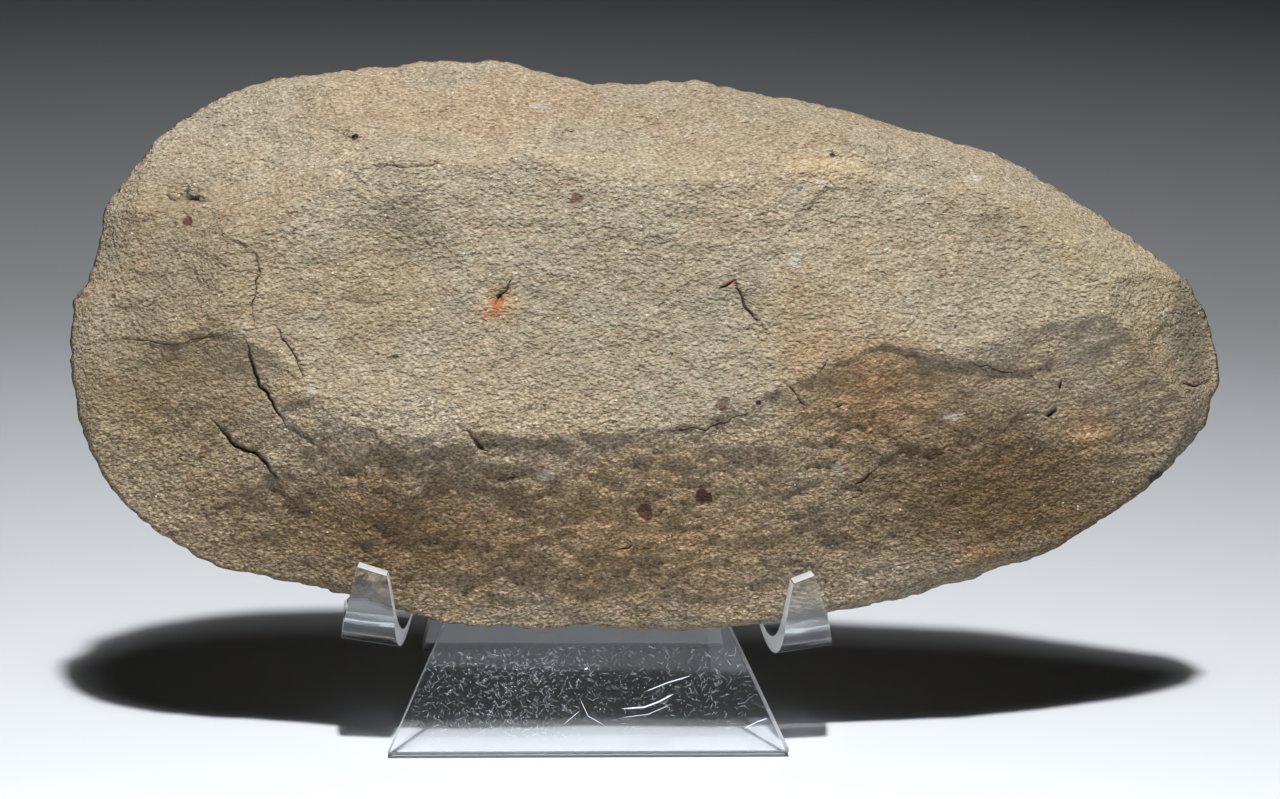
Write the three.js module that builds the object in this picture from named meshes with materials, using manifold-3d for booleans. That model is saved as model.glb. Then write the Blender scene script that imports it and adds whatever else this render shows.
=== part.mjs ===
// A knapped stone celt leaning in a clear display easel bent from one sheet.
// Millimetres, +X to the right as seen from the front, +Y away, +Z up.
// The origin is on the table, at the middle of the object's box.

import * as THREE from "three";
import { mergeVertices } from "three/addons/utils/BufferGeometryUtils.js";
import Module from "manifold-3d";

// Celt: overall size, and the slope of its middle plane back from upright.
const CELT_LENGTH = 203.5;
const CELT_WIDTH = 101.6;
const FRONT_BULGE = 18;
const BACK_BULGE = 11.5;
const CELT_LEAN = 21;
const CELT_SHIFT = 11;

// Celt outline: where its four quarter curves meet and how square each one is.
const CREST_ALONG = -0.18 * CELT_LENGTH;
const KEEL_ALONG = -0.054 * CELT_LENGTH;
const GIRDLE_UP = 0.476 * CELT_WIDTH;
const SQUARENESS = { topRight: 2.03, topLeft: 2.42, bottomLeft: 2.36, bottomRight: 2.12 };

// Celt edge: how far it twists and ripples to the front and back of the middle plane.
const EDGE_TWIST = 1.6;
const EDGE_RIPPLE = 0.5;

// Celt faces: a full lens that the flakes are struck from, and the slim lens left at least,
// each flat in the middle and round towards the edge by its power.
const FULL_LENS_POWERS = { front: 6, back: 2.6 };
const SLIM_LENS = 0.3;
const SLIM_LENS_POWER = 2;
const RINGS = 22;

// Easel: the sheet, and the two slopes of its front and rear legs from the table.
const SHEET = 3.2;
const FRONT_SLOPE = 53;
const REAR_SLOPE = 68;
const FOOT_SPREAD = 55;
const FOLD_RADIUS = 3;
const FOOT_FLAT = 0.55;

// Easel: widths of the legs, and how fast the front leg narrows upwards.
const FRONT_FOOT_WIDTH = 70;
const FRONT_LEG_TAPER = 22.6;
const REAR_FOOT_WIDTH = 57.5;
const FOLD_WIDTH = 40;

// Easel: the two arms that leave the front leg at a slit and curl up into hooks.
const SLIT_TOP = 35.5;
const SLIT_END_RADIUS = 0.45;
const SLIT_END_STEPS = 4;
const ARM_SPLAY = 31;
const HOOK_HEIGHTS = { left: 26.4, right: 25 };
const HOOK_REACH = 36.6;
const HOOK_CANT = 9;
const HOOK_RADIUS = 4.5;
const HOOK_TIP = 7.7;
const ARM_INNER_WIDTHS = [5.8, 4.8, 1.3];
const ARM_OUTER_WIDTHS = { left: [6.2, 5.2, 4.1], right: [6.2, 5, 2.6] };
const TIP_SLANT = 0.9;
const BEND_STEP = 6;

// Room left between the celt and the easel where they touch.
const SEAT_GAP = 0.4;

const RIGHT = CELT_LENGTH / 2;
const wasm = await Module();
wasm.setup();

const radians = THREE.MathUtils.degToRad;
const clamp = THREE.MathUtils.clamp;

function solidOf(geometry) {
  const bare = geometry.clone();
  bare.deleteAttribute("normal");
  bare.deleteAttribute("uv");
  const merged = mergeVertices(bare, 1e-4);
  return new wasm.Manifold(
    new wasm.Mesh({
      numProp: 3,
      vertProperties: merged.attributes.position.array,
      triVerts: new Uint32Array(merged.index.array),
    }),
  );
}

function geometryOf(solid) {
  const mesh = solid.getMesh();
  const geometry = new THREE.BufferGeometry();
  geometry.setAttribute("position", new THREE.BufferAttribute(mesh.vertProperties, 3));
  geometry.setIndex(new THREE.BufferAttribute(mesh.triVerts, 1));
  geometry.computeVertexNormals();
  return geometry;
}

// Celt

// Plain outline: four superelliptic quarters, angle 0 at the right end, turning upwards.
class CeltOutline extends THREE.Curve {
  getPoint(share, target = new THREE.Vector3()) {
    const angle = 2 * Math.PI * share;
    const across = Math.cos(angle);
    const up = Math.sin(angle);
    const isTop = up >= 0;
    const isRight = across >= 0;
    const side = isTop ? "top" : "bottom";
    const power = 2 / SQUARENESS[side + (isRight ? "Right" : "Left")];
    const middle = isTop ? CREST_ALONG : KEEL_ALONG;
    const reach = isRight ? RIGHT - middle : RIGHT + middle;
    const rise = isTop ? CELT_WIDTH - GIRDLE_UP : GIRDLE_UP;
    return target.set(
      middle + Math.sign(across) * reach * Math.abs(across) ** power,
      0,
      GIRDLE_UP + Math.sign(up) * rise * Math.abs(up) ** power,
    );
  }
}

// Flake bites along the outline: place and half-width as shares of the way round,
// depth as a share of the celt's width. A negative depth is a spur.
const EDGE_BITES = [
  { at: 0.035, half: 0.03, depth: 0.008 },
  { at: 0.073, half: 0.042, depth: 0.027 },
  { at: 0.14, half: 0.035, depth: 0.018 },
  { at: 0.195, half: 0.04, depth: 0.015 },
  { at: 0.259, half: 0.033, depth: 0.028 },
  { at: 0.35, half: 0.026, depth: 0.01 },
  { at: 0.441, half: 0.02, depth: 0.011 },
  { at: 0.471, half: 0.017, depth: 0.024 },
  { at: 0.644, half: 0.041, depth: 0.023 },
  { at: 0.785, half: 0.04, depth: -0.006 },
  { at: 0.94, half: 0.03, depth: 0.006 },
  { at: 0.985, half: 0.015, depth: -0.008 },
];

function biteDepth(share) {
  let depth = 0;
  for (const bite of EDGE_BITES) {
    const away = (share - bite.at) / bite.half;
    depth += bite.depth * CELT_WIDTH * Math.max(0, 1 - away * away);
  }
  return depth;
}

const plainOutline = new CeltOutline();
plainOutline.arcLengthDivisions = 1600;

function outlinePoint(share) {
  const point = plainOutline.getPointAt(share);
  const tangent = plainOutline.getTangentAt(share);
  const inward = new THREE.Vector3(-tangent.z, 0, tangent.x);
  return point.addScaledVector(inward, biteDepth(share));
}

// The edge's own y, to the front (negative) or the back of the middle plane.
function edgeWave(share) {
  const turn = 2 * Math.PI * share;
  return EDGE_TWIST * Math.sin(2 * turn - 2.8) + EDGE_RIPPLE * Math.sin(8 * turn + 2.1);
}

// Flake scars. Each is a shallow cup, given by its middle (percent of the celt's length
// from its centre, percent of its width from the lower edge), its height there as a share
// of the bulge, the slopes at which it climbs to the right and upwards in degrees, and the
// radius of its hollow as a share of the celt's length.
const FRONT_SCARS = [
  { along: -1, up: 58, height: 0.945, right: 0.5, rise: -1, hollow: 12 },
  { along: -16, up: 92, height: 0.38, right: 1, rise: -36, hollow: 1.6 },
  { along: 4, up: 90, height: 0.38, right: -1, rise: -34, hollow: 1.6 },
  { along: 24, up: 86, height: 0.36, right: -9, rise: -28, hollow: 1.8 },
  { along: -34, up: 86, height: 0.3, right: 18, rise: -24, hollow: 1.4 },
  { along: -6, up: 15, height: 0.44, right: 0, rise: 28, hollow: 1.6 },
  { along: -19, up: 15, height: 0.4, right: 1, rise: 29, hollow: 1.5 },
  { along: 9, up: 18, height: 0.46, right: -3, rise: 24, hollow: 1.5 },
  { along: -24, up: 52, height: 0.86, right: 5, rise: -1, hollow: 1.6 },
  { along: -42, up: 64, height: 0.46, right: 24, rise: -4, hollow: 1.6 },
  { along: -40.5, up: 32, height: 0.28, right: 15, rise: 15, hollow: 0.8 },
  { along: 21, up: 64, height: 0.82, right: -7, rise: -9, hollow: 3 },
  { along: 21, up: 32, height: 0.6, right: -5, rise: 20, hollow: 0.6 },
  { along: 36, up: 34, height: 0.36, right: -12, rise: 18, hollow: 0.8 },
  { along: 46, up: 54, height: 0.2, right: -33, rise: -8, hollow: 1 },
  { along: -31, up: 20, height: 0.34, right: 12, rise: 24, hollow: 1 },
  { along: -24, up: 62, height: 0.83, right: 0, rise: 0, hollow: 0.28 },
  { along: 36, up: 78, height: 0.4, right: -12, rise: -22, hollow: 1.6 },
  { along: -46, up: 76, height: 0.22, right: 25, rise: -18, hollow: 1.4 },
];

// The back, unseen in the display, has fewer and broader scars, made by a loop: a flat core
// and one long flake struck in from each place round the edge, all a little uneven.
const BACK_CORE = { along: -1, up: 50, height: 0.95, right: 0.5, rise: 1, hollow: 12 };
const BACK_FLAKES = 11;
const BACK_FLAKE = { inset: 0.66, slope: 17, height: 0.6, hollow: 1.4 };
const BACK_UNEVENNESS = { place: 0.35, inset: 0.05, slope: 4, height: 0.06 };

// A steady uneven number from -1 to 1, for one flake and one of its values.
const uneven = (flake, value) => Math.sin((3 + 2 * value) * flake + value);

function backScars() {
  const scars = [BACK_CORE];
  for (let n = 0; n < BACK_FLAKES; n += 1) {
    const share = (n + BACK_UNEVENNESS.place * uneven(n, 0)) / BACK_FLAKES;
    const rim = outlinePoint((share + 1) % 1);
    const inset = BACK_FLAKE.inset + BACK_UNEVENNESS.inset * uneven(n, 1);
    const slope = BACK_FLAKE.slope + BACK_UNEVENNESS.slope * uneven(n, 2);
    const heading = Math.atan2(rim.z - GIRDLE_UP, rim.x * (CELT_WIDTH / CELT_LENGTH));
    const up = GIRDLE_UP + inset * (rim.z - GIRDLE_UP);
    scars.push({
      along: (100 * inset * rim.x) / CELT_LENGTH,
      up: (100 * up) / CELT_WIDTH,
      height: BACK_FLAKE.height + BACK_UNEVENNESS.height * uneven(n, 3),
      right: -slope * Math.cos(heading),
      rise: -slope * Math.sin(heading),
      hollow: BACK_FLAKE.hollow,
    });
  }
  return scars;
}

// Height of a face above the middle plane. It is the lowest of a full lens and the
// scars, and never thinner than a slim lens, so that the two faces never meet inside.
function faceHeight(x, z, ring, bulge, power, scars) {
  const least = bulge * SLIM_LENS * (1 - ring ** SLIM_LENS_POWER);
  let height = bulge * (1 - ring ** power);
  for (const scar of scars) {
    const dx = x - (scar.along * CELT_LENGTH) / 100;
    const dz = z - (scar.up * CELT_WIDTH) / 100;
    const slope = Math.tan(radians(scar.right)) * dx + Math.tan(radians(scar.rise)) * dz;
    const cup = (dx * dx + dz * dz) / (2 * scar.hollow * CELT_LENGTH);
    height = Math.min(height, scar.height * bulge + slope + cup);
  }
  return Math.max(height, least);
}

function celtGeometry() {
  const centre = new THREE.Vector3(0, 0, GIRDLE_UP);
  const back = backScars();
  const powers = FULL_LENS_POWERS;
  const frontFace = (x, z, ring) => faceHeight(x, z, ring, FRONT_BULGE, powers.front, FRONT_SCARS);
  const backFace = (x, z, ring) => faceHeight(x, z, ring, BACK_BULGE, powers.back, back);
  const positions = [];
  const indices = [];
  const faces = { front: [], back: [] };
  const addVertex = (x, y, z) => positions.push(x, y, z) / 3 - 1;

  for (let ring = 0; ring <= RINGS; ring += 1) {
    const share = ring / RINGS;
    const count = Math.max(1, 8 * ring);
    faces.front.push([]);
    faces.back.push([]);
    for (let n = 0; n < count; n += 1) {
      const round = n / count;
      const place = outlinePoint(round).sub(centre).multiplyScalar(share).add(centre);
      const middle = edgeWave(round) * share ** 4;
      const frontHeight = frontFace(place.x, place.z, share);
      const backHeight = backFace(place.x, place.z, share);
      const front = addVertex(place.x, middle - frontHeight, place.z);
      const isEdge = ring === RINGS;
      faces.front[ring].push(front);
      faces.back[ring].push(isEdge ? front : addVertex(place.x, middle + backHeight, place.z));
    }
  }

  // Rings hold 8 more vertices each time: one triangle per step on the inner ring,
  // one per step on the outer ring.
  const stitch = (rings, flip) => {
    const addFace = (a, b, c) => (flip ? indices.push(a, c, b) : indices.push(a, b, c));
    for (let ring = 1; ring <= RINGS; ring += 1) {
      const outer = rings[ring];
      const inner = rings[ring - 1];
      let i = 0;
      for (let n = 0; n < outer.length; n += 1) {
        const next = (n + 1) % outer.length;
        addFace(inner[i % inner.length], outer[n], outer[next]);
        const isDue = (i + 1) * outer.length <= (n + 1) * inner.length;
        if (ring > 1 && isDue) {
          addFace(inner[i % inner.length], outer[next], inner[(i + 1) % inner.length]);
          i += 1;
        }
      }
    }
  };
  stitch(faces.front, false);
  stitch(faces.back, true);

  const geometry = new THREE.BufferGeometry();
  geometry.setAttribute("position", new THREE.Float32BufferAttribute(positions, 3));
  geometry.setIndex(indices);
  geometry.computeVertexNormals();
  return geometry;
}

// Easel
//
// It is built lying in its front sheet's own frame: x across, y up the sheet from the
// lower end, z out of the front face. The front face is z = 0, the rear face z = -SHEET.

const frontSlope = radians(FRONT_SLOPE);
const rearSlope = radians(REAR_SLOPE);
const foldTurn = frontSlope + rearSlope;
const foldOuter = FOLD_RADIUS + SHEET;

// Both legs stand on the lower corner of a square-cut end. These are the upper corners.
const frontEnd = new THREE.Vector2(-SHEET * Math.sin(frontSlope), SHEET * Math.cos(frontSlope));
const rearEnd = new THREE.Vector2(
  FOOT_SPREAD + SHEET * Math.sin(rearSlope),
  SHEET * Math.cos(rearSlope),
);

// Lengths of the two outer faces up to the sharp corner in which they would meet.
const span = rearEnd.clone().sub(frontEnd);
const frontFull =
  (span.x * Math.sin(rearSlope) + span.y * Math.cos(rearSlope)) / Math.sin(foldTurn);
const rearFull =
  (span.x * Math.sin(frontSlope) - span.y * Math.cos(frontSlope)) / Math.sin(foldTurn);
const foldTangent = foldOuter * Math.tan(foldTurn / 2);
const FRONT_STRAIGHT = frontFull - foldTangent;
const REAR_STRAIGHT = rearFull - foldTangent;


// Closed solid through a row of four-cornered sections.
function loft(sections) {
  const positions = sections.flat().flatMap((corner) => corner.toArray());
  const indices = [];
  const last = 4 * (sections.length - 1);
  for (let n = 0; n < last; n += 4) {
    for (let side = 0; side < 4; side += 1) {
      const a = n + side;
      const b = n + ((side + 1) % 4);
      indices.push(a, b, b + 4, a, b + 4, a + 4);
    }
  }
  indices.push(0, 2, 1, 0, 3, 2);
  indices.push(last, last + 1, last + 2, last, last + 2, last + 3);
  const geometry = new THREE.BufferGeometry();
  geometry.setAttribute("position", new THREE.Float32BufferAttribute(positions, 3));
  geometry.setIndex(indices);
  return geometry;
}

// The strip that runs up the front leg, over the fold and down the rear leg.
function stripSolid() {
  const sections = [];
  const addSection = (half, outer, inner) =>
    sections.push([
      new THREE.Vector3(half, outer.x, outer.y),
      new THREE.Vector3(half, inner.x, inner.y),
      new THREE.Vector3(-half, inner.x, inner.y),
      new THREE.Vector3(-half, outer.x, outer.y),
    ]);
  const flat = (up) => [new THREE.Vector2(up, 0), new THREE.Vector2(up, -SHEET)];

  const taperTop = (FRONT_FOOT_WIDTH - FOLD_WIDTH) / 2 / Math.tan(radians(FRONT_LEG_TAPER));
  addSection(FRONT_FOOT_WIDTH / 2, ...flat(0));
  addSection(FOLD_WIDTH / 2, ...flat(taperTop));

  const centre = new THREE.Vector2(FRONT_STRAIGHT, -foldOuter);
  const steps = Math.ceil(THREE.MathUtils.radToDeg(foldTurn) / BEND_STEP);
  for (let n = 0; n <= steps; n += 1) {
    const turn = (foldTurn * n) / steps;
    const outward = new THREE.Vector2(Math.sin(turn), Math.cos(turn));
    const outer = centre.clone().addScaledVector(outward, foldOuter);
    const inner = centre.clone().addScaledVector(outward, FOLD_RADIUS);
    addSection(FOLD_WIDTH / 2, outer, inner);
  }

  const onward = new THREE.Vector2(Math.cos(foldTurn), -Math.sin(foldTurn));
  const [outerTop, innerTop] = sections.at(-1);
  const down = (corner) => new THREE.Vector2(corner.y, corner.z).addScaledVector(onward, REAR_STRAIGHT);
  addSection(REAR_FOOT_WIDTH / 2, down(outerTop), down(innerTop));
  return solidOf(loft(sections));
}

// An arm's pattern: a runs along the hook's bend line away from the middle of the easel,
// b runs past the bend line towards the tip.
const cant = radians(HOOK_CANT);
const HOOK_TURN = Math.PI / 2 + frontSlope;
const HOOK_ARC = HOOK_TURN * (HOOK_RADIUS + SHEET / 2);
const ARM_REACH = HOOK_ARC + HOOK_TIP;
const bendAxis = new THREE.Vector2(Math.cos(cant), Math.sin(cant));
const bendDown = new THREE.Vector2(Math.sin(cant), -Math.cos(cant));
const hookHeight = (side) => (side < 0 ? HOOK_HEIGHTS.left : HOOK_HEIGHTS.right);
const outerWidths = (side) => (side < 0 ? ARM_OUTER_WIDTHS.left : ARM_OUTER_WIDTHS.right);
const bendOrigin = (side) => new THREE.Vector2(HOOK_REACH, hookHeight(side));

function taperedWidth(widths, share) {
  const [root, middle, tip] = widths;
  const early = THREE.MathUtils.lerp(root, middle, share);
  const late = THREE.MathUtils.lerp(middle, tip, share);
  return THREE.MathUtils.lerp(early, late, share);
}

function armSolid(side) {
  const place = (a, b, depth) => {
    const turn = clamp(b / (HOOK_RADIUS + SHEET / 2), 0, HOOK_TURN);
    const past = b - clamp(b, 0, HOOK_ARC);
    const radius = HOOK_RADIUS + depth;
    const forward = radius * Math.sin(turn) + past * Math.cos(turn);
    const out = HOOK_RADIUS - radius * Math.cos(turn) + past * Math.sin(turn);
    const flat = bendOrigin(side).addScaledVector(bendAxis, a).addScaledVector(bendDown, forward);
    return new THREE.Vector3(side * flat.x, flat.y, b < 0 ? -depth : out);
  };
  const sections = [];
  const addSection = (b, slant) => {
    const share = Math.max(0, b) / ARM_REACH;
    const inner = -taperedWidth(ARM_INNER_WIDTHS, share);
    const outer = taperedWidth(outerWidths(side), share);
    const corners = [
      place(inner, b - slant, 0),
      place(inner, b - slant, SHEET),
      place(outer, b, SHEET),
      place(outer, b, 0),
    ];
    sections.push(side > 0 ? corners : corners.reverse());
  };
  addSection(-SLIT_END_RADIUS, 0);
  const steps = Math.ceil(THREE.MathUtils.radToDeg(HOOK_TURN) / BEND_STEP);
  for (let n = 0; n <= steps; n += 1) {
    addSection((HOOK_ARC * n) / steps, 0);
  }
  addSection(ARM_REACH, TIP_SLANT);
  return solidOf(loft(sections));
}

// The flat shoulder between the strip and one arm, with the slit beside the front leg.
function shoulderSolid(side) {
  const corner = (a) => bendOrigin(side).addScaledVector(bendAxis, a);
  const innerCorner = corner(-ARM_INNER_WIDTHS[0]);
  const outerCorner = corner(outerWidths(side)[0]);
  const inside = FOLD_WIDTH / 4;
  const slitX = innerCorner.x - Math.tan(radians(ARM_SPLAY)) * (SLIT_TOP - innerCorner.y);
  const top = SLIT_TOP + SLIT_END_RADIUS;
  const pattern = [
    [FOLD_WIDTH / 2, FRONT_STRAIGHT],
    [inside, FRONT_STRAIGHT],
    [inside, top],
  ];
  for (let n = 0; n <= SLIT_END_STEPS; n += 1) {
    const turn = (Math.PI / 2) * (1 - n / SLIT_END_STEPS);
    const across = slitX - SLIT_END_RADIUS * (1 - Math.cos(turn));
    pattern.push([across, SLIT_TOP + SLIT_END_RADIUS * Math.sin(turn)]);
  }
  pattern.push(innerCorner.toArray(), outerCorner.toArray());

  const shape = new THREE.Shape(pattern.map(([x, y]) => new THREE.Vector2(side * x, y)));
  const geometry = new THREE.ExtrudeGeometry(shape, { depth: SHEET, bevelEnabled: false });
  const position = geometry.attributes.position;
  for (let n = 0; n < position.count; n += 1) {
    position.setZ(n, position.getZ(n) > SHEET / 2 ? 0 : -SHEET);
  }
  return solidOf(geometry);
}

// From the front sheet's frame to the table's.
const sheetToTable = new THREE.Matrix4()
  .makeTranslation(0, frontEnd.x, frontEnd.y)
  .multiply(new THREE.Matrix4().makeRotationX(frontSlope));

function easelGeometry() {
  let easel = stripSolid();
  for (const side of [-1, 1]) {
    easel = easel.add(shoulderSolid(side)).add(armSolid(side));
  }
  const standing = geometryOf(easel).applyMatrix4(sheetToTable);
  const slab = new THREE.BoxGeometry(4 * FRONT_FOOT_WIDTH, 4 * FOOT_SPREAD, FOOT_SPREAD);
  slab.translate(0, 0, FOOT_FLAT - FOOT_SPREAD / 2);
  return geometryOf(solidOf(standing).subtract(solidOf(slab)));
}

// Seat: the celt is let down into the hooks while its back rests on the sheet and its fold.

const sheetUp = new THREE.Vector3(0, Math.cos(frontSlope), Math.sin(frontSlope));
const sheetOut = new THREE.Vector3(0, -Math.sin(frontSlope), Math.cos(frontSlope));
const sheetFoot = new THREE.Vector3(0, frontEnd.x, frontEnd.y);
const EASEL_HALF = HOOK_REACH + Math.max(ARM_OUTER_WIDTHS.left[0], ARM_OUTER_WIDTHS.right[0]);

// Room between a point and the front sheet or its fold.
function roomAtSheet(point) {
  const local = point.clone().sub(sheetFoot);
  const up = local.dot(sheetUp);
  const out = local.dot(sheetOut);
  if (up < FRONT_STRAIGHT) return out;
  return Math.hypot(up - FRONT_STRAIGHT, out + foldOuter) - foldOuter;
}

// Room between a point and the inside of the nearer hook.
function roomInHook(point) {
  const across = Math.abs(point.x) - HOOK_REACH;
  if (across < -ARM_INNER_WIDTHS[0] || across > outerWidths(point.x)[0]) return Infinity;
  const bendUp = hookHeight(point.x) + across * Math.tan(cant);
  const axis = sheetFoot.clone().addScaledVector(sheetUp, bendUp).addScaledVector(sheetOut, HOOK_RADIUS);
  if (point.z > axis.z + HOOK_TIP) return Infinity;
  if (point.z > axis.z) return point.y - axis.y + HOOK_RADIUS;
  return HOOK_RADIUS - Math.hypot(point.y - axis.y, point.z - axis.z);
}

// Where the celt's own origin comes to rest.
function celtSeat(geometry) {
  const lean = new THREE.Matrix4().makeRotationX(-radians(CELT_LEAN));
  const position = geometry.attributes.position;
  const points = [];
  for (let n = 0; n < position.count; n += 1) {
    const point = new THREE.Vector3().fromBufferAttribute(position, n).applyMatrix4(lean);
    point.x += CELT_SHIFT;
    if (Math.abs(point.x) < EASEL_HALF) points.push(point);
  }
  const seat = new THREE.Vector3(0, 0, 0);
  const leastRoom = (room) => Math.min(...points.map((point) => room(point.clone().add(seat))));
  const advance = (room, axis, way) => {
    for (let step = HOOK_RADIUS; step > SEAT_GAP / 50; step /= 2) {
      while (room() > SEAT_GAP) seat[axis] += way * step;
      seat[axis] -= way * step;
    }
  };
  const pushBack = () => {
    seat.y = -CELT_WIDTH;
    advance(() => leastRoom(roomAtSheet), "y", 1);
  };
  seat.z = Math.max(HOOK_HEIGHTS.left, HOOK_HEIGHTS.right) + HOOK_TIP;
  advance(
    () => {
      pushBack();
      return leastRoom(roomInHook);
    },
    "z",
    -1,
  );
  pushBack();
  seat.x = CELT_SHIFT;
  return seat;
}

// Materials and assembly

const sandstone = new THREE.MeshStandardMaterial({ color: 0x94846e, roughness: 0.94, metalness: 0 });
const clearSheet = new THREE.MeshStandardMaterial({
  color: 0xe9eef0,
  roughness: 0.08,
  metalness: 0,
  transparent: true,
  opacity: 0.35,
});

const celt = new THREE.Mesh(celtGeometry(), sandstone);
celt.name = "celt";
celt.rotation.x = -radians(CELT_LEAN);
celt.position.copy(celtSeat(celt.geometry));

const easel = new THREE.Mesh(easelGeometry(), clearSheet);
easel.name = "display_stand";

const display = new THREE.Group();
display.add(celt, easel);
display.updateMatrixWorld(true);
const box = new THREE.Box3().setFromObject(display, true);
const middle = box.getCenter(new THREE.Vector3());
display.position.set(-middle.x, -middle.y, -box.min.z);

export default display;
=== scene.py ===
# Stone celt on a clear display easel: the stone's fine surface, the clear sheet, light and camera.
# Sizes are in millimetres up to the point where a mesh is made, and Blender's scene is in metres.

import math

import bmesh
import bpy
import numpy as np
from mathutils import Matrix, Vector, geometry, kdtree, noise
from mathutils.bvhtree import BVHTree


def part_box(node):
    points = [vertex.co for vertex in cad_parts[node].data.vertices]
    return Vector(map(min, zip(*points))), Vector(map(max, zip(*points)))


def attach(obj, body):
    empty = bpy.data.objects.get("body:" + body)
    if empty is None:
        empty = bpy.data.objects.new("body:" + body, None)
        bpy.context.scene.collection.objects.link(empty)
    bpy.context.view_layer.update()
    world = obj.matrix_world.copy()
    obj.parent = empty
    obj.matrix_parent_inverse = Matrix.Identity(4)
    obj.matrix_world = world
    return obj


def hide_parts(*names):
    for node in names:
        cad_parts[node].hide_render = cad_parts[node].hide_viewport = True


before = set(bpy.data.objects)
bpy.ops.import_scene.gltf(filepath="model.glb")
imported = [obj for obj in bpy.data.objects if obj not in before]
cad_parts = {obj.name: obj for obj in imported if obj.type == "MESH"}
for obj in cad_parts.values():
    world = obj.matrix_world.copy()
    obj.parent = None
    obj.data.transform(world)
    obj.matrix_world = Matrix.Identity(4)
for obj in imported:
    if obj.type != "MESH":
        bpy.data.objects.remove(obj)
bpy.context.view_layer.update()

MM = 0.001

# Celt: the solid's driving sizes, as the frame's part has them.
CELT_LENGTH = 203.5
CELT_WIDTH = 101.6
FRONT_BULGE = 18.0
BACK_BULGE = 11.5
CELT_LEAN = 21.0
CREST_ALONG = -0.18 * CELT_LENGTH
KEEL_ALONG = -0.054 * CELT_LENGTH
GIRDLE_UP = 0.476 * CELT_WIDTH
SQUARENESS = {"topRight": 2.03, "topLeft": 2.42, "bottomLeft": 2.36, "bottomRight": 2.12}
EDGE_TWIST = 1.6
EDGE_RIPPLE = 0.5
TWIST_WAVES = 2
TWIST_PHASE = -2.8
RIPPLE_WAVES = 8
RIPPLE_PHASE = 2.1
FULL_LENS_POWERS = {"front": 6.0, "back": 2.6}
SLIM_LENS = 0.3
SLIM_LENS_POWER = 2.0
WORN_RIDGE = 0.06

# Flake bites along the outline: place, half-width (shares of the way round), depth (share of the width).
EDGE_BITES = [
    (0.035, 0.03, 0.008), (0.073, 0.042, 0.027), (0.14, 0.035, 0.018), (0.195, 0.04, 0.015),
    (0.259, 0.033, 0.028), (0.35, 0.026, 0.01), (0.441, 0.02, 0.011), (0.471, 0.017, 0.024),
    (0.644, 0.041, 0.023), (0.785, 0.04, -0.006), (0.94, 0.03, 0.006), (0.985, 0.015, -0.008),
]

# Flake scars: along and up in percent, height as a share of the bulge, slopes in degrees, hollow radius.
FRONT_SCARS = [
    (-1, 58, 0.945, 0.5, -1, 12), (-16, 92, 0.38, 1, -36, 1.6), (4, 90, 0.38, -1, -34, 1.6),
    (24, 86, 0.36, -9, -28, 1.8), (-34, 86, 0.3, 18, -24, 1.4), (-6, 15, 0.44, 0, 28, 1.6),
    (-19, 15, 0.4, 1, 29, 1.5), (9, 18, 0.46, -3, 24, 1.5), (-24, 52, 0.86, 5, -1, 1.6),
    (-42, 64, 0.46, 24, -4, 1.6), (-40.5, 32, 0.28, 15, 15, 0.8), (21, 64, 0.82, -7, -9, 3),
    (21, 32, 0.6, -5, 20, 0.6), (36, 34, 0.36, -12, 18, 0.8), (46, 54, 0.2, -33, -8, 1),
    (-31, 20, 0.34, 12, 24, 1), (-24, 62, 0.83, 0, 0, 0.28), (36, 78, 0.4, -12, -22, 1.6),
    (-46, 76, 0.22, 25, -18, 1.4),
]
BACK_CORE = (-1, 50, 0.95, 0.5, 1, 12)
BACK_FLAKES = 11
BACK_FLAKE = {"inset": 0.66, "slope": 17.0, "height": 0.6, "hollow": 1.4}
BACK_UNEVENNESS = {"place": 0.35, "inset": 0.05, "slope": 4.0, "height": 0.06}


def outline_table(count=16000):
    """Plain outline points at equal steps along it, with their inward directions."""
    turn = np.linspace(0.0, 2 * math.pi, count + 1)
    across, up = np.cos(turn), np.sin(turn)
    is_top, is_right = up >= 0, across >= 0
    top = np.where(is_right, SQUARENESS["topRight"], SQUARENESS["topLeft"])
    bottom = np.where(is_right, SQUARENESS["bottomRight"], SQUARENESS["bottomLeft"])
    power = 2 / np.where(is_top, top, bottom)
    middle = np.where(is_top, CREST_ALONG, KEEL_ALONG)
    reach = np.where(is_right, CELT_LENGTH / 2 - middle, CELT_LENGTH / 2 + middle)
    rise = np.where(is_top, CELT_WIDTH - GIRDLE_UP, GIRDLE_UP)
    x = middle + np.sign(across) * reach * np.abs(across) ** power
    z = GIRDLE_UP + np.sign(up) * rise * np.abs(up) ** power
    length = np.concatenate([[0.0], np.cumsum(np.hypot(np.diff(x), np.diff(z)))])
    share = np.arange(count) / count
    x = np.interp(share * length[-1], length, x)
    z = np.interp(share * length[-1], length, z)
    along_x = np.roll(x, -1) - np.roll(x, 1)
    along_z = np.roll(z, -1) - np.roll(z, 1)
    size = np.hypot(along_x, along_z)
    bite = sum(
        depth * CELT_WIDTH * np.maximum(0, 1 - ((share - at) / half) ** 2)
        for at, half, depth in EDGE_BITES
    )
    return share, x - along_z / size * bite, z + along_x / size * bite


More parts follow.
